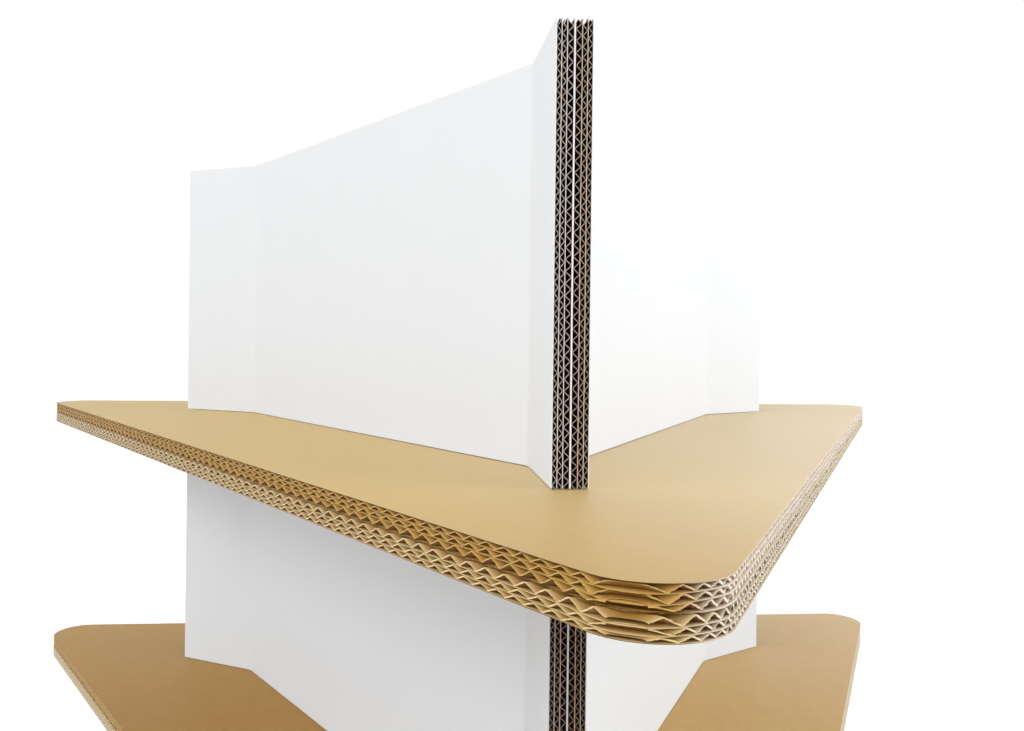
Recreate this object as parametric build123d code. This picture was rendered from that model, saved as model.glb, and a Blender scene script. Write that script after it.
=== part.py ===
from build123d import *
import os

# A free-standing display stand of heavy corrugated board, three-sided in plan.
# One corner points to the front (-Y) and two to the back. Z = 0 is the floor.
# From the floor up: base shelf, lower riser, upper shelf, upper riser, open at its top.

# Triple-wall board: four flat liners with three layers of flutes between them.
# The flutes are drawn as filled ribs, at a wider pitch than the paper's own waves.
liner = 0.7
flute_height = 3.9
flute_layers = 3
rib_pitch = 28.0

# Shelves: rounded triangles, each of two boards glued face to face
shelf_side_reach = 408.0
shelf_corner_radius = 44.0

# Risers: three folded panels each, glued flange to flange into a fin at every corner
fold_reach = 380.0
flange_length = 123.0
lower_riser_height = 344.0
upper_riser_height = 358.0

# Worked out from the sizes above
board = (flute_layers + 1) * liner + flute_layers * flute_height
lower_riser_z = 2 * board
upper_shelf_z = lower_riser_z + lower_riser_height
upper_riser_z = upper_shelf_z + 2 * board
shelf_corner_reach = 2 * shelf_side_reach

# Plan directions
up = Vector(0, 0, 1)
front_corner = Vector(0, -1, 0)
back_left_corner = front_corner.rotate(Axis.Z, -120)
shelf_flute_direction = front_corner.rotate(Axis.Z, 60)


def rib_section(width, layer):
    """A liner with its ribs: X runs across the flutes, Y from the liner's outer face."""
    count = int(width / rib_pitch) + 3
    shift = rib_pitch / 2 if layer % 2 else 0
    left = -count * rib_pitch / 2 + shift
    tips_and_roots = [(left, liner)]
    for i in range(count):
        tips_and_roots.append((left + (i + 0.5) * rib_pitch, liner + flute_height))
        tips_and_roots.append((left + (i + 1) * rib_pitch, liner))
    right = left + count * rib_pitch
    outline = Polygon((left, 0), *tips_and_roots, (right, 0), align=None)
    return outline & Rectangle(width, 4 * board)


def liner_section(width):
    """The liner that closes the board on its last side."""
    return Rectangle(width, liner, align=(Align.CENTER, Align.MIN))


def board_sections(width):
    """Each ply's section across the flutes, with its height above the board's first face."""
    layer_step = liner + flute_height
    plies = [(rib_section(width, i), i * layer_step) for i in range(flute_layers)]
    plies.append((liner_section(width), flute_layers * layer_step))
    return [Pos(0, height) * section for section, height in plies]


def shelf_board(underside):
    """One rounded triangular board, its flutes square to the front right side."""
    corners = [front_corner.rotate(Axis.Z, 120 * i) * shelf_corner_reach for i in range(3)]
    outline = Polygon(*[(corner.X, corner.Y) for corner in corners], align=None)
    outline = fillet(outline.vertices(), shelf_corner_radius)
    blank = Pos(0, 0, underside) * extrude(outline, board)
    across = up.cross(shelf_flute_direction)
    cut_plane = Plane((0, 0, underside), x_dir=across, z_dir=shelf_flute_direction)
    plies = []
    for section in board_sections(2 * shelf_corner_reach):
        ply = extrude(cut_plane * section, shelf_corner_reach, both=True)
        plies.append((ply & blank).solid())
    return Compound(plies)


def riser_panel(bottom, height, turn):
    """A panel folded at two creases, its flutes level, with a glue flange at each end."""
    front_offset = Vector(-board, 0, 0)
    left_offset = front_offset.rotate(Axis.Z, -120) * -1
    tip_reach = fold_reach + flange_length
    visible_face = Polyline(
        front_corner * tip_reach + front_offset,
        front_corner * fold_reach + front_offset,
        back_left_corner * fold_reach + left_offset,
        back_left_corner * tip_reach + left_offset,
    )
    start = Plane(visible_face @ 0, x_dir=up, z_dir=visible_face % 0)
    plies = []
    for section in board_sections(height):
        ply = sweep(start * section, path=visible_face, transition=Transition.RIGHT)
        plies.append(Rot(0, 0, turn) * Pos(0, 0, bottom + height / 2) * ply.solid())
    return Compound(plies)


# Every board and panel, under its own name
pieces = {
    "base_shelf_lower_board": shelf_board(0),
    "base_shelf_upper_board": shelf_board(board),
    "upper_shelf_lower_board": shelf_board(upper_shelf_z),
    "upper_shelf_upper_board": shelf_board(upper_shelf_z + board),
}
panel_turns = {"left": 0, "right": 120, "back": 240}
for side, turn in panel_turns.items():
    pieces[f"lower_riser_{side}_panel"] = riser_panel(lower_riser_z, lower_riser_height, turn)
    pieces[f"upper_riser_{side}_panel"] = riser_panel(upper_riser_z, upper_riser_height, turn)

os.makedirs("parts", exist_ok=True)
for name, piece in pieces.items():
    export_step(piece, f"parts/{name}.step")
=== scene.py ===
import math
from collections import namedtuple

import bpy
import numpy as np
from mathutils import Matrix, Vector


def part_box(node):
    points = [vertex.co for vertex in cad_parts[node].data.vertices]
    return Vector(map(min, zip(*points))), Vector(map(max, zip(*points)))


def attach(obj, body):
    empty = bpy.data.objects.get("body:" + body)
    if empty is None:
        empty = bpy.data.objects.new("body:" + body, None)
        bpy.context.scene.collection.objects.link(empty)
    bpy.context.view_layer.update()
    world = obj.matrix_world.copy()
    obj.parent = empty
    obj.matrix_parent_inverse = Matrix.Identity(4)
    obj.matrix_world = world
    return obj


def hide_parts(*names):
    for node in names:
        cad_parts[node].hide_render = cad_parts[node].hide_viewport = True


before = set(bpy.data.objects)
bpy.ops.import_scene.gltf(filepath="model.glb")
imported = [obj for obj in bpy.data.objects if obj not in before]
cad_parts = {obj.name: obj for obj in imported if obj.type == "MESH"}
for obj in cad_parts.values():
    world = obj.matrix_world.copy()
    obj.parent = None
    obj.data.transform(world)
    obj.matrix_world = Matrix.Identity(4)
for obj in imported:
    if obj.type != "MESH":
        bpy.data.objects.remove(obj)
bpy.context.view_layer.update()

BODY = "root"
MM = 0.001
ROOT_THREE = math.sqrt(3)
UP = Vector((0, 0, 1))
FRONT = Vector((0, -1, 0))
CORNER_ANGLE = math.radians(120)
HALF_CORNER_ANGLE = math.radians(60)

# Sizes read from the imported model, in metres
SHELF_LOW, SHELF_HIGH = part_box("upper_shelf_upper_board")
BACK_PANEL_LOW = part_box("upper_riser_back_panel")[0]
LEFT_PANEL_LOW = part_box("upper_riser_left_panel")[0]
BOARD = SHELF_HIGH.z - SHELF_LOW.z
SIDE_REACH = SHELF_HIGH.y
CORNER_RADIUS = (ROOT_THREE * SIDE_REACH - SHELF_HIGH.x) / (ROOT_THREE - 1)
STRAIGHT_HALF = ROOT_THREE * (SIDE_REACH - CORNER_RADIUS)
OUTLINE_HALF = STRAIGHT_HALF + CORNER_RADIUS
FIN_REACH = -LEFT_PANEL_LOW.y
WALL_REACH = BACK_PANEL_LOW.y + BOARD
FOLD_REACH = 2 * WALL_REACH - ROOT_THREE * BOARD
FOLD_ANGLE = math.radians(30)

# The papers of a board, from its outer face to the face that is glued to the next board.
# A step is one flat paper and the fluted paper behind it, and the fourth flat paper closes the board.
SHELF_LINER = 0.4 * MM
RISER_LINER = 0.7 * MM
SHELF_FLUTE_PAPER = 0.45 * MM
UPPER_FLUTE_PAPER = 0.34 * MM
LOWER_FLUTE_PAPER = 0.28 * MM
LAYER_NAMES = ("outer", "middle", "joint")
FIRST_STEPS = (4.1 * MM, 4.3 * MM)
SHELF_STEPS = (*FIRST_STEPS, BOARD - SHELF_LINER - sum(FIRST_STEPS))
RISER_STEPS = (*FIRST_STEPS, BOARD - RISER_LINER - sum(FIRST_STEPS))
SHELF_DEPTHS = np.cumsum([0.0, *SHELF_STEPS]).tolist()
RISER_DEPTHS = np.cumsum([0.0, *RISER_STEPS]).tolist()
LAYER_PITCHES = (8.1 * MM, 8.1 * MM, 9.1 * MM)
LOWER_PITCH_SHARE = 0.91
CREST_ROUNDNESS = 0.98

# Where a flute has points, as shares of its pitch, and how many more it has in a strip at a shelf's tips
CREST_SHARES = (0.0, 0.07, 0.25, 0.43, 0.5, 0.57, 0.75, 0.93)
FINE_PARTS = 24
FINE_WIDTH = 0.5 * CORNER_RADIUS

# Where the crest nearest to the shelf's front corner lies in from its edge, by layer
UPPER_BOARD_CRESTS = (1.0 * MM, 1.5 * MM, 2.3 * MM)
LOWER_BOARD_CRESTS = (4.0 * MM, 2.0 * MM, 4.6 * MM)

# How far each flat paper sags at the corners cut along a flute, from the outer paper to the glued one
UPPER_BOARD_SAGS = (0.0, 1.1 * MM, 2.4 * MM, 0.0)
LOWER_BOARD_SAGS = (0.0, 0.9 * MM, 1.3 * MM, 0.0)

# How much thicker the cut ends of the flutes are, where the cut is clean and where it is frayed
UPPER_BOARD_SWELLINGS = (0.9, 2.6)
LOWER_BOARD_SWELLINGS = (1.4, 2.0)
RISER_SWELLINGS = (0.2, 0.2)
SWELLING_FADE = 2.0

# How frayed the cuts along a board's left side are at its far left corner. Fraying also makes them paler,
# as torn fuzz with painted light on it, and lifts their painted shade
UPPER_LEFT_FRAY = 0.25
LOWER_LEFT_FRAY = 0.9

# The height of one crest in each layer, for each panel of both risers
LEFT_CRESTS = (579.5 * MM, 582.1 * MM, 581.0 * MM)
RIGHT_CRESTS = (582.5 * MM, 576.4 * MM, 578.6 * MM)
BACK_CRESTS = (580.0 * MM, 577.0 * MM, 583.0 * MM)

# How the papers were cut: the depths behind a cut that have points, and how close to the cut they are
CUT_DEPTHS = (0.0, 0.9 * MM, 3.5 * MM, 12.0 * MM)
CUT_CLOSENESS = (1.0, 0.75, 0.35, 0.0)
CUT_POINTS = len(CUT_DEPTHS)
CUT_RAGGEDNESS = 0.8 * MM
CUT_INSET = 0.85 * MM
TEAR_FADE = 4.0
LINER_SET_BACKS = (0.5 * MM, 1.4 * MM, 1.4 * MM, 3.0 * MM)
LINER_SET_BACK_SHARES = (0.3, 1.0)
FRAYED_SET_BACK_LOSS = 0.8
LINER_EDGE_WIDTH = 7.0 * MM
TORN_TOP = 0.8 * MM

# How unevenly the papers were glued
SEAM_GROOVE = 0.4 * MM
FLUTE_SWAY = 1.4 * MM
FLUTE_OVERLAP = 0.3 * MM
OVERLAP_SWELLING = 1.0
CRUSHED_SHARE = 0.8
UNEVENNESS_SCALE = 55.0
SEED_SPACING = 7.31
MERGE_DISTANCE = 0.002 * MM

# Limits near a shelf's tips, where a cut runs almost along the flutes: the margin without flutes, the
# steepest slopes that count, and how short a flute may be, in insets and in cut depths, before these shrink
TIP_MARGIN = 1.9 * MM
INSET_SLOPE_LIMIT = 2
SWAY_SLOPE_LIMIT = 1.8
INSET_PARTS = 6
DEPTH_PARTS = 3

# Where a shelf's cuts begin to fray, sag and lie open, and where they do so fully: by how squarely the cut
# faces along the flutes and by how far round a corner it is. Where the flutes lie open the painted shade on
# their undersides is lifted, and it is lifted at the left too, by a place's share of the half outline
FRAYED_FACING = (0.5, 1.0)
SAGGING_PAST = (0.6, 1.0)
OPENED_PAST = (0.7, 0.95)
LEFT_SHADE_LIFT_SHARE = 0.45

# How far apart a shelf's outline has points, along its sides and round its corners
OUTLINE_SPACING = 7.0 * MM
ARC_SPACING = 3.0 * MM

# The risers' creases, the rows of points in their flat papers, and their gap over what they stand on
CREASE_RADIUS = 16.0 * MM
CREASE_STEPS = 4
LINER_ROWS = 41
FLOOR_GAP = 0.7 * MM

# Where a paper's fibres, its painted shade on faces turned down and its painted sheen seen from low down
# begin and end, and how strong they and the light that it throws on others are
FIBRE_RANGE = (0.3, 0.7)
FIBRE_STRETCH = (0.35, 1.0, 0.6)
FIBRE_RELIEF = 0.3 * MM
CLOUD_AMOUNT = 0.4
TURNED_DOWN_RANGE = (0.1, -0.4)
TURNED_DOWN_SHARE = 0.88
# How much fraying and lifting take off the painted shade on faces turned down
FRAYED_RANGE = (0.8, 1.0)
SHADE_KEPT_WHERE_LIFTED = 0.25
PAINTED_SHEEN_RANGE = (0.62, 0.88)
PAINTED_SHEEN_SHARE = 0.55
THROWN_SHARE = 0.7

# Room and light
HORIZON_LEVEL = 1.0
ZENITH_LEVEL = 0.5
FLOOR_GLOW = 0.57
FLOOR_HALF_SIZE = 12.0
LAMP_DISTANCE = 4.0
LAMP_AIM_HEIGHT = 0.4

# The camera of the photo, fitted to the edges in it
CAMERA_PLACE = (-0.13284, -1.20512, 0.51831)
CAMERA_YAW = math.radians(-5.111)
CAMERA_TILT = math.radians(90.093)
CAMERA_ROLL = math.radians(0.68)
CAMERA_SENSOR = 36.0
CAMERA_LENS = 32.98
CAMERA_SHIFT_X = 0.0316
CAMERA_SHIFT_Y = -0.0312

FlutedSheet = namedtuple("FlutedSheet", "pitch rise thickness swellings seed paper cut")
ShelfBoard = namedtuple("ShelfBoard", "crests sags left_fray swellings core cut seam")
CutPapers = namedtuple("CutPapers", "flutes liners white")
RiserStorey = namedtuple("RiserStorey", "riser pitch_share flute_paper seed left_cuts other_cuts")


def turned(vector, angle):
    """The vector turned about the upright axis."""
    return Matrix.Rotation(angle, 3, "Z") @ vector


def link(item):
    bpy.context.scene.collection.objects.link(item)
    return item


# Node helpers

def feed(tree, socket, value):
    """Links a socket into an input, or sets the input to a value."""
    if isinstance(value, bpy.types.NodeSocket):
        tree.links.new(value, socket)
    else:
        socket.default_value = value


def feed_all(tree, node, values):
    for socket, value in zip(node.inputs, values):
        feed(tree, socket, value)


def math_node(tree, operation, *values, clamp=False):
    """A math node whose inputs are sockets or numbers; returns its output."""
    node = tree.nodes.new("ShaderNodeMath")
    node.operation = operation
    node.use_clamp = clamp
    feed_all(tree, node, values)
    return node.outputs[0]


def vector_node(tree, operation, first, second):
    node = tree.nodes.new("ShaderNodeVectorMath")
    node.operation = operation
    feed(tree, node.inputs[0], first)
    feed(tree, node.inputs["Scale"] if operation == "SCALE" else node.inputs[1], second)
    return node.outputs[0]


def coordinate(tree, vector, axis):
    node = tree.nodes.new("ShaderNodeSeparateXYZ")
    tree.links.new(vector, node.inputs[0])
    return node.outputs[axis]


def noise_node(tree, vector, scale, detail=2.0, seed=None, roughness=0.5):
    """Noise from 0 to 1; with a seed it is four-dimensional."""
    node = tree.nodes.new("ShaderNodeTexNoise")
    node.noise_dimensions = "3D" if seed is None else "4D"
    feed(tree, node.inputs["Vector"], vector)
    feed(tree, node.inputs["Scale"], scale)
    feed(tree, node.inputs["Detail"], detail)
    feed(tree, node.inputs["Roughness"], roughness)
    if seed is not None:
        feed(tree, node.inputs["W"], seed)
    return node.outputs[0]


def mix_colour(tree, factor, first, second):
    """A colour between two others. Each of them is a socket, or its red, green and blue."""
    node = tree.nodes.new("ShaderNodeMix")
    node.data_type = "RGBA"
    feed(tree, node.inputs[0], factor)
    for socket, colour in ((node.inputs[6], first), (node.inputs[7], second)):
        feed(tree, socket, colour if isinstance(colour, bpy.types.NodeSocket) else (*colour, 1))
    return node.outputs[2]


def map_range(tree, value, low, high, new_low, new_high, smooth=False):
    node = tree.nodes.new("ShaderNodeMapRange")
    node.interpolation_type = "SMOOTHSTEP" if smooth else "LINEAR"
    feed_all(tree, node, (value, low, high, new_low, new_high))
    return node.outputs[0]


def point_number(tree, name):
    """A number that the points of a piece carry."""
    node = tree.nodes.new("ShaderNodeAttribute")
    node.attribute_name = name
    return node.outputs["Fac"]


def add_sockets(tree, direction, kinds):
    """Adds inputs or outputs to a group, from their names and kinds."""
    for name, kind in kinds.items():
        tree.interface.new_socket(name, in_out=direction, socket_type="NodeSocket" + kind)


# Papers

def paper_fibre_group():
    """Fine fibres and slow clouds in a paper, as two masks and a bumped normal."""
    group = bpy.data.node_groups.new("Paper fibre", "ShaderNodeTree")
    add_sockets(group, "INPUT", {"Fibre Size": "Float", "Cloud Size": "Float", "Bump": "Float"})
    add_sockets(group, "OUTPUT", {"Fibres": "Float", "Clouds": "Float", "Normal": "Vector"})
    inputs = group.nodes.new("NodeGroupInput").outputs
    output = group.nodes.new("NodeGroupOutput")
    place = group.nodes.new("ShaderNodeTexCoord").outputs["Object"]
    in_mm = vector_node(group, "SCALE", place, 1 / MM)
    fibre_place = vector_node(group, "SCALE", in_mm, math_node(group, "DIVIDE", 1.0, inputs["Fibre Size"]))
    stretched = vector_node(group, "MULTIPLY", fibre_place, FIBRE_STRETCH)
    fibres = noise_node(group, stretched, 1.0, detail=4.0, roughness=0.65)
    cloud_place = vector_node(group, "SCALE", in_mm, math_node(group, "DIVIDE", 1.0, inputs["Cloud Size"]))
    clouds = noise_node(group, cloud_place, 1.0, detail=3.0)
    bump = group.nodes.new("ShaderNodeBump")
    feed(group, bump.inputs["Strength"], inputs["Bump"])
    feed(group, bump.inputs["Distance"], FIBRE_RELIEF)
    feed(group, bump.inputs["Height"], fibres)
    feed_all(group, output, (fibres, clouds, bump.outputs["Normal"]))
    return group


PAPER_FIBRE = paper_fibre_group()


def underside_shade_share(tree, underside_shade_frayed):
    """How much painted shade a paper has on faces turned down: less where frayed, and less where it is
    lifted.
    """
    normal = tree.nodes.new("ShaderNodeNewGeometry").outputs["Normal"]
    share = map_range(tree, coordinate(tree, normal, "Z"), *TURNED_DOWN_RANGE, 0.0, TURNED_DOWN_SHARE)
    clean = map_range(tree, point_number(tree, "fray"), *FRAYED_RANGE, 1.0, underside_shade_frayed)
    shade_kept = map_range(tree, point_number(tree, "shade_lift"), 0.0, 1.0, 1.0, SHADE_KEPT_WHERE_LIFTED)
    return math_node(tree, "MULTIPLY", share, math_node(tree, "MULTIPLY", clean, shade_kept))


def paper_material(name, base, shade, by_cut=None, frayed=None, painted_sheen=None, underside_shade=None,
                   underside_shade_frayed=0.0, cut_fade=1.0, painted_light_tints=None, thrown=None, fibre_amount=0.5, bump=0.1,
                   roughness=0.75, fibre_size=0.7, cloud_size=45.0, specular=0.25):
    """A paper: its colour, and a darker shade in its fibres.

    by_cut is its colour near a cut, which fades by cut_fade: partly the cut's paler fibres, partly painted
    shade deeper in the flutes. frayed is the colour where the cut frayed it: the torn paper's pale fuzz,
    with painted light on it. beneath is painted shade on faces turned down, and underside_shade_frayed how
    much of it frayed faces keep. glancing is a painted sheen, the paler colour seen from low down. thrown is
    the paler colour of the light it throws on other pieces. drift gives an axis, two places on it and the
    tints of painted light and shade there.
    """
    material = bpy.data.materials.new(name)
    material.use_nodes = True
    tree = material.node_tree
    tree.nodes.clear()
    group = tree.nodes.new("ShaderNodeGroup")
    group.node_tree = PAPER_FIBRE
    feed_all(tree, group, (fibre_size, cloud_size, bump))
    fibre_mask = map_range(tree, group.outputs["Fibres"], *FIBRE_RANGE, 0.0, fibre_amount)
    cloud_mask = map_range(tree, group.outputs["Clouds"], *FIBRE_RANGE, 0.0, CLOUD_AMOUNT)
    amount = math_node(tree, "ADD", fibre_mask, cloud_mask, clamp=True)
    colour = mix_colour(tree, amount, base, shade)
    # Near a cut: the cut's paler fibres, and painted shade further in; where frayed, pale fuzz with painted
    # light
    if by_cut:
        near_cut = math_node(tree, "POWER", point_number(tree, "near_cut"), cut_fade)
        cut_colour = mix_colour(tree, point_number(tree, "fray"), by_cut, frayed)
        colour = mix_colour(tree, near_cut, colour, cut_colour)
    # Painted shade on faces turned down
    if underside_shade:
        colour = mix_colour(tree, underside_shade_share(tree, underside_shade_frayed), colour, underside_shade)
    # Painted sheen: a paler colour where the paper is seen from low down
    if painted_sheen:
        facing = tree.nodes.new("ShaderNodeLayerWeight").outputs["Facing"]
        share = map_range(tree, facing, *PAINTED_SHEEN_RANGE, 0.0, PAINTED_SHEEN_SHARE, smooth=True)
        colour = mix_colour(tree, share, colour, painted_sheen)
    # Painted light and shade: tints that change along an axis, for where the lamps fall
    if painted_light_tints:
        axis, start, end, first_tint, last_tint = painted_light_tints
        place = tree.nodes.new("ShaderNodeTexCoord").outputs["Object"]
        share = map_range(tree, coordinate(tree, place, axis), start, end, 0.0, 1.0, smooth=True)
        colour = vector_node(tree, "MULTIPLY", colour, mix_colour(tree, share, first_tint, last_tint))
    if thrown:
        on_others = tree.nodes.new("ShaderNodeLightPath").outputs["Is Diffuse Ray"]
        colour = mix_colour(tree, math_node(tree, "MULTIPLY", on_others, THROWN_SHARE), colour, thrown)
    shader = tree.nodes.new("ShaderNodeBsdfPrincipled")
    tree.links.new(colour, shader.inputs["Base Color"])
    tree.links.new(group.outputs["Normal"], shader.inputs["Normal"])
    shader.inputs["Roughness"].default_value = roughness
    shader.inputs["Specular IOR Level"].default_value = specular
    output = tree.nodes.new("ShaderNodeOutputMaterial")
    tree.links.new(shader.outputs[0], output.inputs[0])
    return material


def kraft_face(name, left_light_tint, right_light_tint):
    """The brown face paper, with a painted sheen seen from low down. Painted light from the right makes each
    shelf's sheet paler toward its right side.
    """
    return paper_material(name, (0.51, 0.30, 0.068), (0.45, 0.255, 0.05), painted_sheen=(0.84, 0.70, 0.36),
                          painted_light_tints=("X", -0.2, 0.25, left_light_tint, right_light_tint), thrown=(0.72, 0.70, 0.66),
                          fibre_amount=0.9, fibre_size=3.0, cloud_size=30.0, roughness=0.5, specular=0.4)


# Painted light from the right: each sheet is paler toward its right, the base shelf's much more
KRAFT_FACE = kraft_face("kraft_face", (0.97, 0.91, 0.76), (1.02, 1.06, 1.38))
BASE_KRAFT_FACE = kraft_face("base_kraft_face", (0.90, 0.81, 0.60), (1.21, 1.28, 1.85))
# The shelves' core and cut papers: their darker colour away from a cut is painted shade deeper in the
# flutes, with the cut's own paler fibres at the cut; their frayed colour is the torn paper's pale fuzz with
# painted light on it. The core's dark colour on faces turned down is painted shade
KRAFT_CORE = paper_material("kraft_core", (0.42, 0.195, 0.027), (0.34, 0.145, 0.02), (0.69, 0.44, 0.12),
                            (0.95, 0.85, 0.73), underside_shade=(0.17, 0.07, 0.015), cut_fade=1.25, bump=0.2)
KRAFT_CUT = paper_material("kraft_cut_edge", (0.66, 0.44, 0.15), (0.50, 0.31, 0.09), (0.68, 0.45, 0.15),
                           (0.97, 0.89, 0.79), bump=0.3)
# Painted shadow: the cut edges of a board's outer and glued papers are near black, for the shadow lines at
# the top paper's edge and between the boards; pale where frayed
KRAFT_SEAM_SHADOW = paper_material("kraft_seam_shadow_edge", (0.12, 0.055, 0.012), (0.09, 0.04, 0.01),
                            (0.12, 0.055, 0.012), (0.85, 0.73, 0.60), bump=0.2, specular=0.05)
# Painted shade and light as in the kraft core above
PALE_CORE = paper_material("pale_core", (0.43, 0.22, 0.045), (0.35, 0.165, 0.03), (0.81, 0.62, 0.28),
                           (0.96, 0.87, 0.68), underside_shade=(0.17, 0.065, 0.02), underside_shade_frayed=0.9,
                           cut_fade=1.4, bump=0.2)
PALE_CUT = paper_material("pale_cut_edge", (0.82, 0.65, 0.34), (0.69, 0.50, 0.23), (0.84, 0.67, 0.34),
                          (0.96, 0.87, 0.72), bump=0.3)
# Painted shadow, as in the kraft seam edges above
PALE_SEAM_SHADOW = paper_material("pale_seam_shadow_edge", (0.20, 0.105, 0.028), (0.15, 0.08, 0.02),
                           (0.20, 0.105, 0.028), (0.85, 0.74, 0.56), bump=0.2, specular=0.05)
# Painted shade: below the upper shelf the white face is a little darker and bluer, for the shelf's shadow
# and against the brown light it throws
WHITE_FACE = paper_material("white_face", (0.865, 0.88, 0.895), (0.85, 0.865, 0.88),
                            painted_light_tints=("Z", 0.36, 0.40, (0.97, 0.98, 0.995), (1.0, 1.0, 1.0)),
                            bump=0.03, roughness=0.55)
WHITE_CUT = paper_material("white_cut_edge", (0.90, 0.89, 0.86), (0.84, 0.82, 0.78), bump=0.2)
CREAM_LINER_CUT = paper_material("cream_liner_cut_edge", (0.80, 0.72, 0.64), (0.64, 0.57, 0.49), bump=0.2)
CREAM_FLUTE_CUT = paper_material("cream_flute_cut_edge", (0.82, 0.74, 0.66), (0.60, 0.53, 0.46), bump=0.2)
TAN_LINER_CUT = paper_material("tan_liner_cut_edge", (0.68, 0.55, 0.43), (0.58, 0.44, 0.32), bump=0.2)
TAN_FLUTE_CUT = paper_material("tan_flute_cut_edge", (0.75, 0.60, 0.46), (0.54, 0.41, 0.29), bump=0.2)
# Painted shade: darker copies of the cut edges, for the lower riser in the upper shelf's shadow
SHADED_WHITE_CUT = paper_material("white_cut_edge_painted_shade", (0.62, 0.59, 0.56), (0.54, 0.51, 0.48), bump=0.2)
SHADED_CREAM_CUT = paper_material("cream_cut_edge_painted_shade", (0.50, 0.39, 0.33), (0.41, 0.31, 0.25), bump=0.2)
SHADED_TAN_CUT = paper_material("tan_cut_edge_painted_shade", (0.45, 0.33, 0.24), (0.37, 0.26, 0.18), bump=0.2)
# Painted shade: the risers' inner papers are near black, for the dark flute tunnels, a little less so near
# the cuts
SHADED_CORE = paper_material("core_painted_shade", (0.05, 0.03, 0.017), (0.04, 0.023, 0.013), (0.11, 0.068, 0.042),
                           (0.11, 0.068, 0.042), bump=0.2)


# Fluted paper, made by one Geometry Nodes tree

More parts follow.
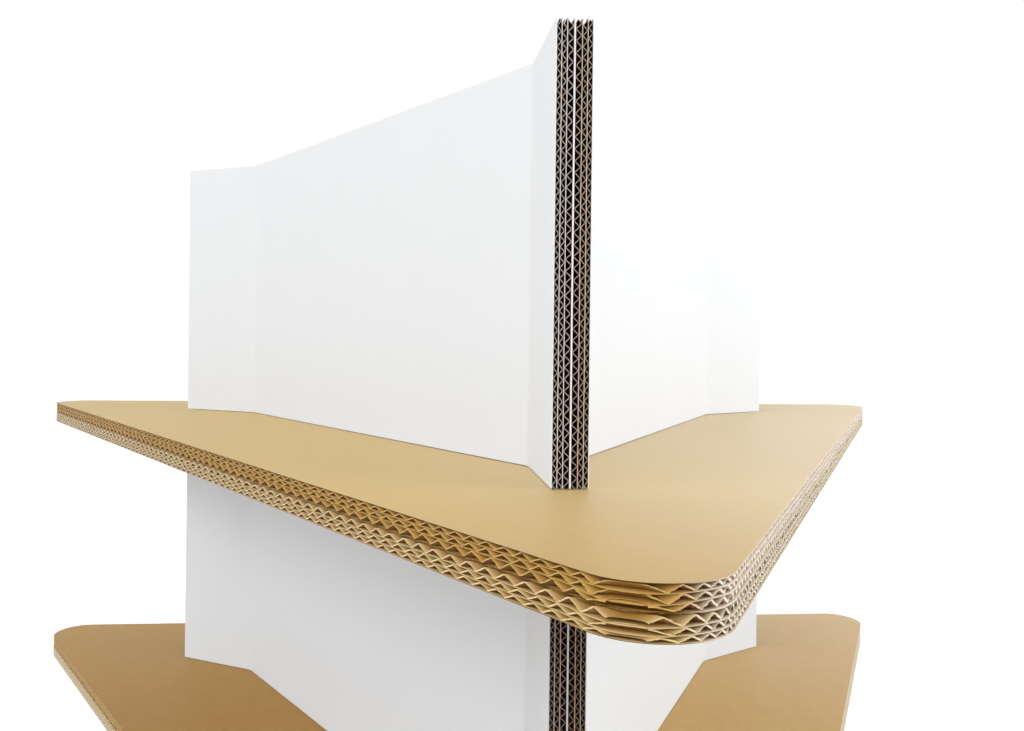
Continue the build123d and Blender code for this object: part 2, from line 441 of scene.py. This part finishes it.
def fluted_paper_tree():
    """Waves a flat net of paper by its distance across the flutes, then gives it its thickness."""
    tree = bpy.data.node_groups.new("Fluted paper", "GeometryNodeTree")
    add_sockets(tree, "INPUT", {
        "Geometry": "Geometry",
        "Pitch": "Float",
        "Rise": "Float",
        "Roundness": "Float",
        "Thickness": "Float",
        "Swelling": "Float",
        "Frayed Swelling": "Float",
        "Overlap": "Float",
        "Unevenness": "Float",
        "Raggedness": "Float",
        "Seed": "Int",
        "Paper": "Material",
        "Cut Edge": "Material",
    })
    add_sockets(tree, "OUTPUT", {"Geometry": "Geometry"})
    inputs = tree.nodes.new("NodeGroupInput").outputs
    output = tree.nodes.new("NodeGroupOutput")

    def attribute(name, kind="FLOAT"):
        node = tree.nodes.new("GeometryNodeInputNamedAttribute")
        node.data_type = kind
        node.inputs["Name"].default_value = name
        return node.outputs["Attribute"]

    across = attribute("across")
    near_cut = attribute("near_cut")
    fray = attribute("fray")
    slack = attribute("slack")
    lift = attribute("lift", "FLOAT_VECTOR")
    along = attribute("along", "FLOAT_VECTOR")
    side = attribute("side", "FLOAT_VECTOR")
    place = tree.nodes.new("GeometryNodeInputPosition").outputs[0]
    noise_seed = math_node(tree, "MULTIPLY", inputs["Seed"], SEED_SPACING)

    # A rounded triangle wave: the arcsine of a cosine, held just short of its corners
    turns = math_node(tree, "DIVIDE", across, inputs["Pitch"])
    angle = math_node(tree, "MULTIPLY", turns, 2 * math.pi)
    cosine = math_node(tree, "MULTIPLY", math_node(tree, "COSINE", angle), inputs["Roundness"])
    peak = math_node(tree, "ARCSINE", inputs["Roundness"])
    wave = math_node(tree, "DIVIDE", math_node(tree, "ARCSINE", cosine), peak)
    level = math_node(tree, "MULTIPLY_ADD", wave, 0.5, 0.5)

    # Each flute is a little lower or further along than the next
    own_noise = noise_node(tree, place, UNEVENNESS_SCALE, detail=1.0, seed=noise_seed)
    own = math_node(tree, "SUBTRACT", own_noise, 0.5)
    crushed = math_node(tree, "MULTIPLY", near_cut, CRUSHED_SHARE)
    crush = math_node(tree, "MULTIPLY", math_node(tree, "ABSOLUTE", own), crushed)
    height_share = math_node(tree, "SUBTRACT", 1.0, crush)
    sway = math_node(tree, "MULTIPLY", own, inputs["Unevenness"])

    # Its cut end is thicker, and fills the room between the flat papers
    clean_swelling = math_node(tree, "MULTIPLY", math_node(tree, "SUBTRACT", 1.0, fray), inputs["Swelling"])
    swelling = math_node(tree, "MULTIPLY_ADD", fray, inputs["Frayed Swelling"], clean_swelling)
    swelling = math_node(tree, "MULTIPLY", math_node(tree, "POWER", near_cut, SWELLING_FADE), swelling)
    full_thickness = math_node(tree, "MULTIPLY_ADD", inputs["Thickness"], swelling, inputs["Thickness"])
    room = math_node(tree, "SUBTRACT", inputs["Rise"], full_thickness)
    room = math_node(tree, "MULTIPLY_ADD", near_cut, inputs["Overlap"], room)
    room = math_node(tree, "ADD", slack, room)
    height = math_node(tree, "MULTIPLY", math_node(tree, "MULTIPLY", level, height_share), room)

    # The cut ends are torn back by uneven amounts
    random = tree.nodes.new("FunctionNodeRandomValue")
    random.data_type = "FLOAT"
    feed(tree, random.inputs["Seed"], inputs["Seed"])
    pull = math_node(tree, "MULTIPLY", random.outputs[1], math_node(tree, "POWER", near_cut, TEAR_FADE))
    torn = vector_node(tree, "SCALE", along, math_node(tree, "MULTIPLY", pull, inputs["Raggedness"]))
    moved = vector_node(tree, "SCALE", lift, height)
    swayed = vector_node(tree, "SCALE", side, sway)
    offset = vector_node(tree, "ADD", vector_node(tree, "ADD", moved, swayed), torn)
    waved = tree.nodes.new("GeometryNodeSetPosition")
    tree.links.new(inputs["Geometry"], waved.inputs["Geometry"])
    tree.links.new(offset, waved.inputs["Offset"])

    # Thickness: the sheet raised along its own normal, its old side turned over to close it
    extrude = tree.nodes.new("GeometryNodeExtrudeMesh")
    extrude.mode = "FACES"
    extrude.inputs["Individual"].default_value = False
    tree.links.new(waved.outputs[0], extrude.inputs["Mesh"])
    feed(tree, extrude.inputs["Offset Scale"], full_thickness)
    flip = tree.nodes.new("GeometryNodeFlipFaces")
    tree.links.new(waved.outputs[0], flip.inputs[0])
    join = tree.nodes.new("GeometryNodeJoinGeometry")
    tree.links.new(flip.outputs[0], join.inputs[0])
    tree.links.new(extrude.outputs["Mesh"], join.inputs[0])
    merge = tree.nodes.new("GeometryNodeMergeByDistance")
    merge.inputs["Distance"].default_value = MERGE_DISTANCE
    tree.links.new(join.outputs[0], merge.inputs["Geometry"])
    realize = tree.nodes.new("GeometryNodeRealizeInstances")
    tree.links.new(merge.outputs[0], realize.inputs[0])
    paper = tree.nodes.new("GeometryNodeSetMaterial")
    tree.links.new(realize.outputs[0], paper.inputs["Geometry"])
    feed(tree, paper.inputs["Material"], inputs["Paper"])
    cut = tree.nodes.new("GeometryNodeSetMaterial")
    tree.links.new(paper.outputs[0], cut.inputs["Geometry"])
    tree.links.new(extrude.outputs["Side"], cut.inputs["Selection"])
    feed(tree, cut.inputs["Material"], inputs["Cut Edge"])
    tree.links.new(cut.outputs[0], output.inputs[0])
    return tree


FLUTED_PAPER = fluted_paper_tree()


def socket_identifier(tree, name):
    for item in tree.interface.items_tree:
        if item.item_type == "SOCKET" and item.in_out == "INPUT" and item.name == name:
            return item.identifier
    raise KeyError(name)


def grid_faces(rows, columns, first):
    """Quads of a grid of rows and columns of points, numbered row by row from first."""
    index = first + np.arange(rows * columns).reshape(rows, columns)
    return np.stack([index[:-1, :-1], index[:-1, 1:], index[1:, 1:], index[1:, :-1]], -1).reshape(-1, 4)


def fluted_layer(name, points, numbers, ways, sheet):
    """One fluted paper. Its flat net is a grid of points, each with its numbers and directions."""
    rows, columns = points.shape[:2]
    faces = grid_faces(rows, columns, 0)
    flat_way = np.cross(points[0, 1] - points[0, 0], points[1, 0] - points[0, 0])
    if flat_way @ ways["lift"].reshape(-1, 3)[0] < 0:
        faces = faces[:, ::-1]
    mesh = bpy.data.meshes.new(name)
    mesh.from_pydata(points.reshape(-1, 3).tolist(), [], faces.tolist())
    for key, values in numbers.items():
        flat = np.broadcast_to(values, (rows, columns)).astype(np.float32).ravel()
        mesh.attributes.new(key, "FLOAT", "POINT").data.foreach_set("value", flat)
    for key, values in ways.items():
        flat = np.broadcast_to(values, (rows, columns, 3)).astype(np.float32).ravel()
        mesh.attributes.new(key, "FLOAT_VECTOR", "POINT").data.foreach_set("vector", flat)
    carrier = link(bpy.data.objects.new(name + "_net", mesh))
    modifier = carrier.modifiers.new("flutes", "NODES")
    modifier.node_group = FLUTED_PAPER
    settings = {
        "Pitch": sheet.pitch,
        "Rise": sheet.rise,
        "Roundness": CREST_ROUNDNESS,
        "Thickness": sheet.thickness,
        "Swelling": sheet.swellings[0],
        "Frayed Swelling": sheet.swellings[1],
        "Overlap": FLUTE_OVERLAP if max(sheet.swellings) > OVERLAP_SWELLING else 0.0,
        "Unevenness": FLUTE_SWAY,
        "Raggedness": CUT_RAGGEDNESS,
        "Seed": sheet.seed,
        "Paper": sheet.paper,
        "Cut Edge": sheet.cut,
    }
    for key, value in settings.items():
        modifier[socket_identifier(FLUTED_PAPER, key)] = value
    graph = bpy.context.evaluated_depsgraph_get()
    plain = bpy.data.meshes.new_from_object(carrier.evaluated_get(graph))
    bpy.data.objects.remove(carrier)
    plain.name = name
    return link(bpy.data.objects.new(name, plain))


def places_across(low, high, crest, pitch, fine_width=0.0):
    """Places across the flutes, close together at the crests and, if asked, near both ends."""
    first = math.floor((low - crest) / pitch) - 1
    last = math.ceil((high - crest) / pitch) + 1
    places = (np.arange(first, last)[:, None] + np.array(CREST_SHARES)).ravel() * pitch + crest
    if fine_width:
        extra = np.arange(0.0, fine_width, pitch / FINE_PARTS)
        places = np.concatenate([places, low + extra, high - extra])
    places = np.unique(np.round(places[(places > low) & (places < high)], 6))
    return np.concatenate([[low], places, [high]])


def paper_object(name, points, faces, slots, materials, near_cut, fray):
    """A piece of plain papers, with each point's closeness to a cut and how frayed it is there."""
    mesh = bpy.data.meshes.new(name)
    mesh.from_pydata(points, [], faces)
    for material in materials:
        mesh.materials.append(material)
    mesh.polygons.foreach_set("material_index", slots)
    mesh.attributes.new("near_cut", "FLOAT", "POINT").data.foreach_set("value", near_cut)
    mesh.attributes.new("fray", "FLOAT", "POINT").data.foreach_set("value", fray)
    return link(bpy.data.objects.new(name, mesh))


def finish_pieces(pieces, node):
    for piece in pieces:
        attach(piece, BODY)
        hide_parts(node)


# Shelves

FLUTE_WAY = turned(FRONT, HALF_CORNER_ANGLE)
ACROSS_WAY = UP.cross(FLUTE_WAY)
FACE_SLOT, CORE_SLOT, SEAM_SHADOW_SLOT = range(3)


def ramp(values, start, end):
    """From 0 at the start to 1 at the end."""
    return np.clip((values - start) / (end - start), 0, 1)


def smooth_ramp(values, start, end):
    share = ramp(values, start, end)
    return share * share * (3 - 2 * share)


def frayed_share(facing):
    """How frayed a cut is: fully where it runs square across the flutes, not at all where it slants."""
    return smooth_ramp(facing, *FRAYED_FACING)


def sagging_share(past):
    """How much of its sag a flat paper has, by how far past the straight cuts a place lies."""
    return smooth_ramp(past, *SAGGING_PAST)


def shelf_chord(offset):
    """Where a line along the flutes enters and leaves the rounded triangle, at each offset."""
    size = np.abs(offset)
    tip = np.sqrt(np.maximum(CORNER_RADIUS**2 - np.maximum(size - STRAIGHT_HALF, 0)**2, 0))
    centre = SIDE_REACH - CORNER_RADIUS
    leave = centre + tip
    arc_half = math.sin(HALF_CORNER_ANGLE) * CORNER_RADIUS
    rounded_back = -2 * centre - np.sqrt(np.maximum(CORNER_RADIUS**2 - size**2, 0))
    slanted = ROOT_THREE * size - 2 * SIDE_REACH
    enter = np.where(size < arc_half, rounded_back, slanted)
    enter = np.where(size > STRAIGHT_HALF + arc_half, centre - tip, enter)
    return enter, leave


def both_ends(first, last):
    """One value for the points behind the cut where the flutes enter, another where they leave."""
    return np.repeat([first, last], CUT_POINTS, axis=0)


def shelf_layer(name, underside, crest_inset, sags, left_fray, sheet):
    """One fluted paper, cut to the shelf's outline. It sags with the flat papers under it and over it."""
    crest = crest_inset - OUTLINE_HALF
    end = OUTLINE_HALF - TIP_MARGIN
    across = places_across(-end, end, crest, sheet.pitch, fine_width=FINE_WIDTH)
    size = np.abs(across)
    enter, leave = shelf_chord(across)
    slopes = [np.gradient(cut_line, across) for cut_line in (enter, leave)]
    slants = [np.hypot(1, np.minimum(np.abs(slope), INSET_SLOPE_LIMIT)) for slope in slopes]
    insets = [np.minimum(CUT_INSET * slant, (leave - enter) / INSET_PARTS) for slant in slants]
    enter, leave = enter + insets[0], leave - insets[1]
    depth_share = np.minimum(1, (leave - enter) / (DEPTH_PARTS * CUT_DEPTHS[-1]))
    depths = np.array(CUT_DEPTHS)[:, None] * depth_share
    runs = np.concatenate([enter + depths, (leave - depths)[::-1]])
    way = np.array(FLUTE_WAY)
    across_way = np.array(ACROSS_WAY)
    sways = []
    for slope in slopes:
        steepness = np.maximum(1, np.abs(slope) / SWAY_SLOPE_LIMIT)[:, None]
        sways.append((across_way + way * slope[:, None]) / steepness)
    near_cut = np.array(CUT_CLOSENESS + CUT_CLOSENESS[::-1])[:, None]
    past = np.maximum(size - STRAIGHT_HALF, 0) / CORNER_RADIUS
    sagging = near_cut * sagging_share(past)
    points = runs[..., None] * way + across[:, None] * across_way
    points[..., 2] = underside - sags[0] * sagging
    facing = np.sqrt(np.maximum(1 - past**2, 0))
    frayed_left = left_fray * (1 - size / OUTLINE_HALF)
    # These lift the painted shade off the flutes' undersides: round the corners, where the cut lays the
    # flutes open, and near the far left
    opened = ramp(past, *OPENED_PAST)
    shade_lift_left = left_fray * np.clip(1 - size / (LEFT_SHADE_LIFT_SHARE * OUTLINE_HALF), 0, 1)
    numbers = {
        "across": across - crest,
        "near_cut": near_cut,
        "fray": both_ends(frayed_left, np.maximum(frayed_share(facing), frayed_left)),
        "shade_lift": both_ends(np.maximum(opened, shade_lift_left), opened),
        "slack": (sags[0] - sags[1]) * sagging,
    }
    ways = {"lift": np.array(UP), "along": both_ends(way, -way)[:, None], "side": both_ends(*sways)}
    return fluted_layer(name, points, numbers, ways, sheet)


def shelf_outline():
    """The rounded triangle's outline as plan points, anticlockwise from the front corner."""
    centre_reach = 2 * (SIDE_REACH - CORNER_RADIUS)
    steps = int(CORNER_ANGLE * CORNER_RADIUS / ARC_SPACING)
    points = []
    for corner in range(3):
        middle = turned(FRONT, corner * CORNER_ANGLE)
        centre = middle * centre_reach
        for i in range(steps + 1):
            angle = CORNER_ANGLE * i / steps - HALF_CORNER_ANGLE
            points.append(centre + turned(middle, angle) * CORNER_RADIUS)
        start = points[-1]
        following = turned(FRONT, (corner + 1) * CORNER_ANGLE)
        end = following * centre_reach + turned(following, -HALF_CORNER_ANGLE) * CORNER_RADIUS
        count = int((end - start).length / OUTLINE_SPACING)
        points.extend(start.lerp(end, i / count) for i in range(1, count))
    return np.array([point[:2] for point in points])


def shelf_liners(name, papers, materials, left_fray, seed):
    """Flat papers of the shelf's outline: each one's underside, its set-back, its sag and its materials."""
    rng = np.random.default_rng(seed)
    outline = shelf_outline()
    count = len(outline)
    tangent = np.roll(outline, -1, axis=0) - np.roll(outline, 1, axis=0)
    outward = np.stack([tangent[:, 1], -tangent[:, 0]], -1) / np.linalg.norm(tangent, axis=1)[:, None]
    size = np.abs(outline @ np.array(ACROSS_WAY)[:2])
    sagging = sagging_share((size - STRAIGHT_HALF) / CORNER_RADIUS)
    frayed_left = left_fray * (1 - size / OUTLINE_HALF)
    fray = np.maximum(frayed_share(outward @ np.array(FLUTE_WAY)[:2]), frayed_left)
    inner = outline - outward * LINER_EDGE_WIDTH
    points, faces, slots, near_cut = [], [], [], []
    for low, set_back, sag, below, above, rim in papers:
        first = len(points)
        held_back = set_back * (1 - FRAYED_SET_BACK_LOSS * fray[:, None])
        ragged = outline - outward * rng.uniform(*LINER_SET_BACK_SHARES, (count, 1)) * held_back
        high = low + SHELF_LINER
        lines = ((inner, low, 0.0), (ragged, low, 1.0), (ragged, high, 1.0), (inner, high, 0.0))
        for plan, level, closeness in lines:
            points.extend((x, y, level - sag * closeness * share) for (x, y), share in zip(plan, sagging))
            near_cut.extend([closeness] * count)
        rings = (first + np.arange(4 * count)).reshape(4, count).tolist()
        faces.extend([rings[0][::-1], rings[3]])
        slots.extend([below, above])
        for ring, next_ring, slot in zip(rings, rings[1:], (below, rim, above)):
            for i in range(count):
                j = (i + 1) % count
                faces.append((ring[i], ring[j], next_ring[j], next_ring[i]))
                slots.append(slot)
    return paper_object(name, points, faces, slots, materials, near_cut, np.tile(fray, 4 * len(papers)))


def shelf_board(node, board, outer_face_up, seed, face):
    """A shelf's board: four flat papers with three fluted ones between them."""
    low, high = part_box(node)
    name = node.replace("_board", "")
    papers = []
    for i, (depth, set_back, sag) in enumerate(zip(SHELF_DEPTHS, LINER_SET_BACKS, board.sags)):
        in_core = 0 < i < 3
        level = high.z - depth - SHELF_LINER if outer_face_up else low.z + depth
        away_side = CORE_SLOT if in_core else FACE_SLOT
        sides = (CORE_SLOT, away_side) if outer_face_up == (i == 0) else (away_side, CORE_SLOT)
        papers.append((level, set_back, sag, *sides, CORE_SLOT if in_core else SEAM_SHADOW_SLOT))
    pieces = []
    for i, (depth, step, pitch) in enumerate(zip(SHELF_DEPTHS, SHELF_STEPS, LAYER_PITCHES)):
        groove = SEAM_GROOVE if i == 2 else 0.0
        underside = high.z - depth - step + groove if outer_face_up else low.z + depth + SHELF_LINER
        sheet = FlutedSheet(pitch, step - SHELF_LINER - groove, SHELF_FLUTE_PAPER, board.swellings,
                            3 * seed + i, board.core, board.cut)
        outer_sag, inner_sag = board.sags[i:i + 2]
        sags = (inner_sag, outer_sag) if outer_face_up else (outer_sag, inner_sag)
        layer_name = f"{name}_flutes_{LAYER_NAMES[i]}"
        pieces.append(shelf_layer(layer_name, underside, board.crests[i], sags, board.left_fray, sheet))
    materials = [face, board.core, board.seam]
    pieces.append(shelf_liners(name + "_liners", papers, materials, board.left_fray, seed))
    finish_pieces(pieces, node)


# Risers

def inward_of(way):
    """The way into the board from its visible face, at a place where the face runs this way."""
    return UP.cross(way) * -1


def riser_path(turn):
    """Plan points of a panel's visible face from tip to tip, and the ways into the board there."""
    left_back = turned(FRONT, -CORNER_ANGLE)
    front_offset = Vector((-BOARD, 0, 0))
    back_offset = -turned(front_offset, -CORNER_ANGLE)
    corners = [
        FRONT * FIN_REACH + front_offset,
        FRONT * FOLD_REACH + front_offset,
        left_back * FOLD_REACH + back_offset,
        left_back * FIN_REACH + back_offset,
    ]
    ways = [(end - start).normalized() for start, end in zip(corners, corners[1:])]
    tangent_length = CREASE_RADIUS * math.tan(FOLD_ANGLE / 2)
    samples = [(corners[0] + ways[0] * depth, inward_of(ways[0])) for depth in CUT_DEPTHS]
    for corner, way in zip(corners[1:3], ways):
        centre = corner - way * tangent_length - inward_of(way) * CREASE_RADIUS
        for i in range(CREASE_STEPS + 1):
            inward = turned(inward_of(way), FOLD_ANGLE * i / CREASE_STEPS)
            samples.append((centre + inward * CREASE_RADIUS, inward))
    samples.extend((corners[3] - ways[2] * depth, inward_of(ways[2])) for depth in reversed(CUT_DEPTHS))
    points = np.array([turned(point, turn) for point, _ in samples])
    inwards = np.array([turned(inward, turn) for _, inward in samples])
    return points, inwards


def closeness_along(columns):
    """How close to a cut each column of a panel's points is."""
    closeness = np.zeros(columns)
    closeness[:CUT_POINTS] = CUT_CLOSENESS
    closeness[-CUT_POINTS:] = CUT_CLOSENESS[::-1]
    return closeness


def riser_liners(name, low, high, points, inwards, materials, seed):
    """Four bent papers. The visible face and the glued one are white."""
    white_slot, core_slot, white_cut_slot, cut_slot = range(4)
    rng = np.random.default_rng(seed)
    columns = len(points)
    last_row = LINER_ROWS - 1
    heights = np.linspace(low, high, LINER_ROWS)
    rim = [(0, c) for c in range(columns)] + [(r, columns - 1) for r in range(1, LINER_ROWS)]
    rim += [(last_row, c) for c in range(columns - 2, -1, -1)] + [(r, 0) for r in range(last_row - 1, 0, -1)]
    verts, faces, slots = [], [], []
    for i, depth in enumerate(RISER_DEPTHS):
        in_core = 0 < i < 3
        first = len(verts)
        second = first + LINER_ROWS * columns
        for reach in (depth, depth + RISER_LINER):
            plan = (points + inwards * reach)[:, :2]
            for row, z in enumerate(heights):
                torn = rng.uniform(0, TORN_TOP, columns) if row == last_row else np.zeros(columns)
                verts.extend((x, y, z - drop) for (x, y), drop in zip(plan, torn))
        front_faces = grid_faces(LINER_ROWS, columns, first)[:, ::-1].tolist()
        back_faces = grid_faces(LINER_ROWS, columns, second).tolist()
        rim_faces = []
        for (r, c), (s, d) in zip(rim, rim[1:] + rim[:1]):
            here, there = r * columns + c, s * columns + d
            rim_faces.append([first + here, first + there, second + there, second + here])
        faces += front_faces + back_faces + rim_faces
        slots += [white_slot if i == 0 else core_slot] * len(front_faces)
        slots += [white_slot if i == 3 else core_slot] * len(back_faces)
        slots += [cut_slot if in_core else white_cut_slot] * len(rim_faces)
    near_cut = np.tile(closeness_along(columns), len(verts) // columns)
    return paper_object(name, verts, faces, slots, materials, near_cut, np.zeros(len(verts)))


def riser_layer(name, low, high, points, inwards, depth, crest, sheet):
    """One fluted paper of a riser. Its flutes are level and follow the panel round its creases."""
    steps = np.gradient(points, axis=0)
    into_board = steps / np.linalg.norm(steps, axis=1)[:, None]
    into_board[len(points) // 2:] *= -1
    heights = places_across(low, high, crest, sheet.pitch)
    grid = np.repeat((points + inwards * depth)[None], len(heights), axis=0)
    grid[..., 2] = heights[:, None]
    numbers = {"across": (heights - crest)[:, None], "near_cut": closeness_along(len(points))}
    ways = {"lift": inwards, "along": into_board, "side": np.array(UP)}
    return fluted_layer(name, grid, numbers, ways, sheet)


def riser_panel(storey, side, turn, crests, cuts, seed):
    """A riser's folded panel: four flat papers with three fluted ones between them."""
    name = f"{storey.riser}_{side}"
    node = name + "_panel"
    low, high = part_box(node)
    points, inwards = riser_path(turn)
    bottom = low.z + FLOOR_GAP
    materials = [WHITE_FACE, SHADED_CORE, cuts.white, cuts.liners]
    pieces = [riser_liners(name + "_liners", bottom, high.z, points, inwards, materials, seed)]
    for i, (depth, step, pitch) in enumerate(zip(RISER_DEPTHS, RISER_STEPS, LAYER_PITCHES)):
        sheet = FlutedSheet(pitch * storey.pitch_share, step - RISER_LINER, storey.flute_paper,
                            RISER_SWELLINGS, 3 * seed + i, SHADED_CORE, cuts.flutes)
        pieces.append(riser_layer(f"{name}_flutes_{LAYER_NAMES[i]}", bottom, high.z - TORN_TOP, points,
                                  inwards, depth + RISER_LINER, crests[i], sheet))
    finish_pieces(pieces, node)


# The stand

LOWER_BOARD = ShelfBoard(LOWER_BOARD_CRESTS, LOWER_BOARD_SAGS, LOWER_LEFT_FRAY, LOWER_BOARD_SWELLINGS,
                         PALE_CORE, PALE_CUT, PALE_SEAM_SHADOW)
UPPER_BOARD = ShelfBoard(UPPER_BOARD_CRESTS, UPPER_BOARD_SAGS, UPPER_LEFT_FRAY, UPPER_BOARD_SWELLINGS,
                         KRAFT_CORE, KRAFT_CUT, KRAFT_SEAM_SHADOW)
# The lower storey's cut edges carry painted shade
LOWER_STOREY = RiserStorey("lower_riser", LOWER_PITCH_SHARE, LOWER_FLUTE_PAPER, seed=5,
                           left_cuts=CutPapers(SHADED_CREAM_CUT, SHADED_CREAM_CUT, SHADED_WHITE_CUT),
                           other_cuts=CutPapers(SHADED_TAN_CUT, SHADED_TAN_CUT, SHADED_WHITE_CUT))
UPPER_STOREY = RiserStorey("upper_riser", 1.0, UPPER_FLUTE_PAPER, seed=8,
                           left_cuts=CutPapers(CREAM_FLUTE_CUT, CREAM_LINER_CUT, WHITE_CUT),
                           other_cuts=CutPapers(TAN_FLUTE_CUT, TAN_LINER_CUT, WHITE_CUT))

for shelf, seed, face in (("base_shelf", 1, BASE_KRAFT_FACE), ("upper_shelf", 3, KRAFT_FACE)):
    shelf_board(shelf + "_lower_board", LOWER_BOARD, outer_face_up=False, seed=seed, face=face)
    shelf_board(shelf + "_upper_board", UPPER_BOARD, outer_face_up=True, seed=seed + 1, face=face)
for storey in (LOWER_STOREY, UPPER_STOREY):
    riser_panel(storey, "left", 0, LEFT_CRESTS, storey.left_cuts, storey.seed)
    riser_panel(storey, "right", CORNER_ANGLE, RIGHT_CRESTS, storey.other_cuts, storey.seed + 1)
    riser_panel(storey, "back", 2 * CORNER_ANGLE, BACK_CRESTS, storey.other_cuts, storey.seed + 2)


# Floor, backdrop, lamps and camera

def eye_rays(tree):
    """One for a ray from the eye, or from a mirror or glass, and zero for light that falls on the object."""
    path = tree.nodes.new("ShaderNodeLightPath").outputs
    mirrored = math_node(tree, "MAXIMUM", path["Is Glossy Ray"], path["Is Transmission Ray"])
    return math_node(tree, "MAXIMUM", path["Is Camera Ray"], mirrored)


def studio_world():
    world = bpy.data.worlds.new("studio")
    bpy.context.scene.world = world
    world.use_nodes = True
    tree = world.node_tree
    background = tree.nodes["Background"]
    background.inputs["Color"].default_value = (1, 1, 1, 1)
    direction = tree.nodes.new("ShaderNodeTexCoord").outputs["Generated"]
    sky = map_range(tree, coordinate(tree, direction, "Z"), 0, 1, HORIZON_LEVEL, ZENITH_LEVEL)
    tree.links.new(map_range(tree, eye_rays(tree), 0, 1, sky, 1.0), background.inputs["Strength"])


def studio_floor():
    size = FLOOR_HALF_SIZE
    mesh = bpy.data.meshes.new("floor")
    corners = [(-size, -size, 0), (size, -size, 0), (size, size, 0), (-size, size, 0)]
    mesh.from_pydata(corners, [], [(0, 1, 2, 3)])
    material = bpy.data.materials.new("floor")
    material.use_nodes = True
    tree = material.node_tree
    shader = tree.nodes["Principled BSDF"]
    shader.inputs["Base Color"].default_value = (0.70, 0.70, 0.70, 1)
    shader.inputs["Roughness"].default_value = 0.9
    shader.inputs["Specular IOR Level"].default_value = 0.0
    shader.inputs["Emission Color"].default_value = (1, 1, 1, 1)
    glow = math_node(tree, "MULTIPLY", eye_rays(tree), FLOOR_GLOW)
    tree.links.new(glow, shader.inputs["Emission Strength"])
    mesh.materials.append(material)
    link(bpy.data.objects.new("floor", mesh))


def area_lamp(name, bearing, height_angle, size, level):
    """A round soft lamp, with its angles in degrees. Level is what it adds to a white face turned to it."""
    data = bpy.data.lights.new(name, "AREA")
    data.shape = "DISK"
    data.size = size
    data.energy = level * math.pi**2 * LAMP_DISTANCE**2
    lamp = link(bpy.data.objects.new(name, data))
    height_angle = math.radians(height_angle)
    away = turned(Vector((math.cos(height_angle), 0, math.sin(height_angle))), math.radians(bearing))
    lamp.location = UP * LAMP_AIM_HEIGHT + away * LAMP_DISTANCE
    lamp.rotation_euler = away.to_track_quat("Z", "Y").to_euler()


def photo_camera():
    data = bpy.data.cameras.new("camera")
    data.sensor_width = CAMERA_SENSOR
    data.lens = CAMERA_LENS
    data.shift_x = CAMERA_SHIFT_X
    data.shift_y = CAMERA_SHIFT_Y
    camera = link(bpy.data.objects.new("camera", data))
    aim = Matrix.Rotation(CAMERA_YAW, 4, "Z") @ Matrix.Rotation(CAMERA_TILT, 4, "X")
    aim = aim @ Matrix.Rotation(CAMERA_ROLL, 4, "Z")
    camera.matrix_world = Matrix.Translation(CAMERA_PLACE) @ aim
    bpy.context.scene.camera = camera


studio_world()
studio_floor()
area_lamp("front lamp", bearing=245, height_angle=27.4, size=1.2, level=0.13)
area_lamp("left lamp", bearing=207, height_angle=42, size=3.0, level=0.205)
area_lamp("right lamp", bearing=-20, height_angle=20, size=3.4, level=0.42)
area_lamp("back lamp", bearing=50, height_angle=14, size=2.0, level=0.05)
photo_camera()
bpy.context.scene.view_settings.view_transform = "Standard"
